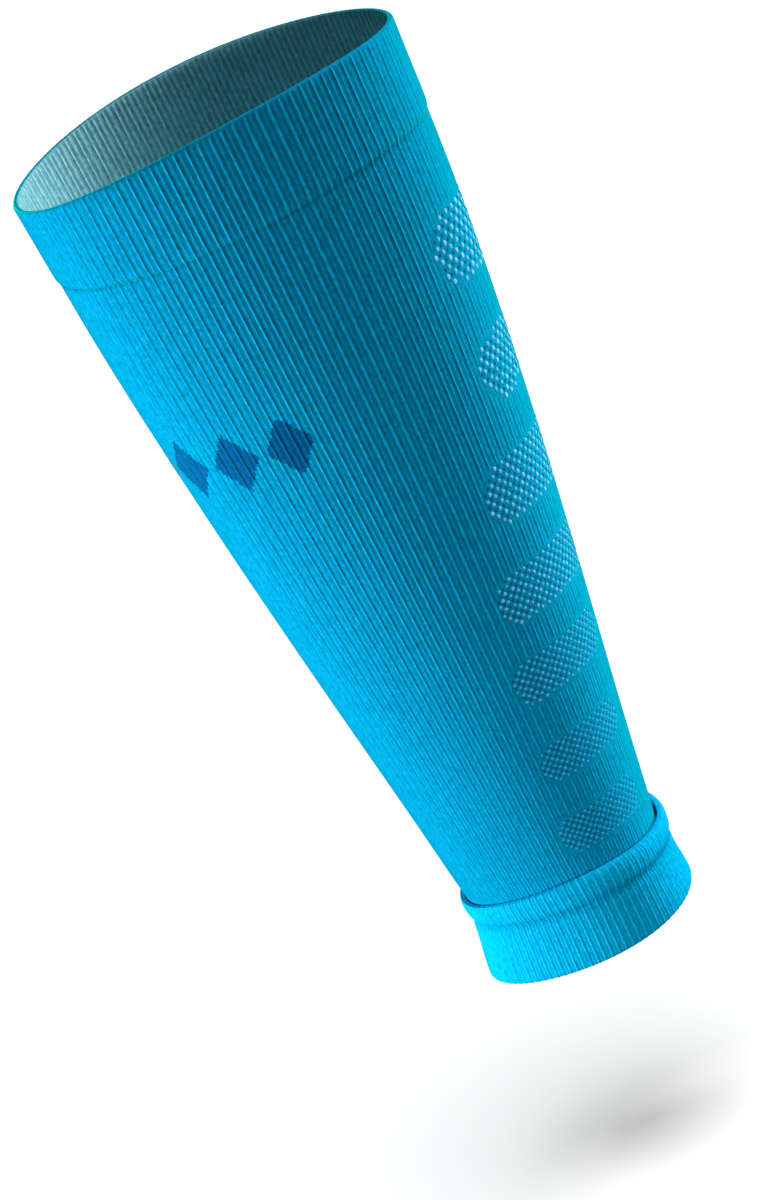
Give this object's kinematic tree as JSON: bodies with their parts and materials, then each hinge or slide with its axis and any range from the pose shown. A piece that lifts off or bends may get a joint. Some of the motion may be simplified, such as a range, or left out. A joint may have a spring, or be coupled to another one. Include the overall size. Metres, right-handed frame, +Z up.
{
  "type": "calf compression sleeve",
  "caption": "Tapered rib-knit sleeve for the lower leg, with a doubled top band, open-knit vents behind the calf and a turned-up ankle cuff.",
  "frame": {"origin": "centre of the ankle opening, level with the cuff's fold", "axes": "+Z up the leg from the ankle to the top band, +X towards the calf at the back of the leg, -Y towards the side that shows the vents"},
  "size_m": [0.1317, 0.0814, 0.3147],
  "materials": {
    "band_knit": "doubled rib knit, matt with a soft sheen",
    "rib_knit": "fine rib knit, matt with a soft sheen",
    "cuff_knit": "soft rib knit, matt with a soft sheen",
    "vent_knit": "open mesh knit with pale stitches"
  },
  "bodies": {
    "root": {"top_band": "band_knit", "calf_tube": "rib_knit", "ankle_cuff": "cuff_knit", "mesh_zone_1": "vent_knit", "mesh_zone_2": "vent_knit", "mesh_zone_3": "vent_knit", "mesh_zone_4": "vent_knit", "mesh_zone_5": "vent_knit", "mesh_zone_6": "vent_knit", "mesh_zone_7": "vent_knit"}
  },
  "joints": []
}
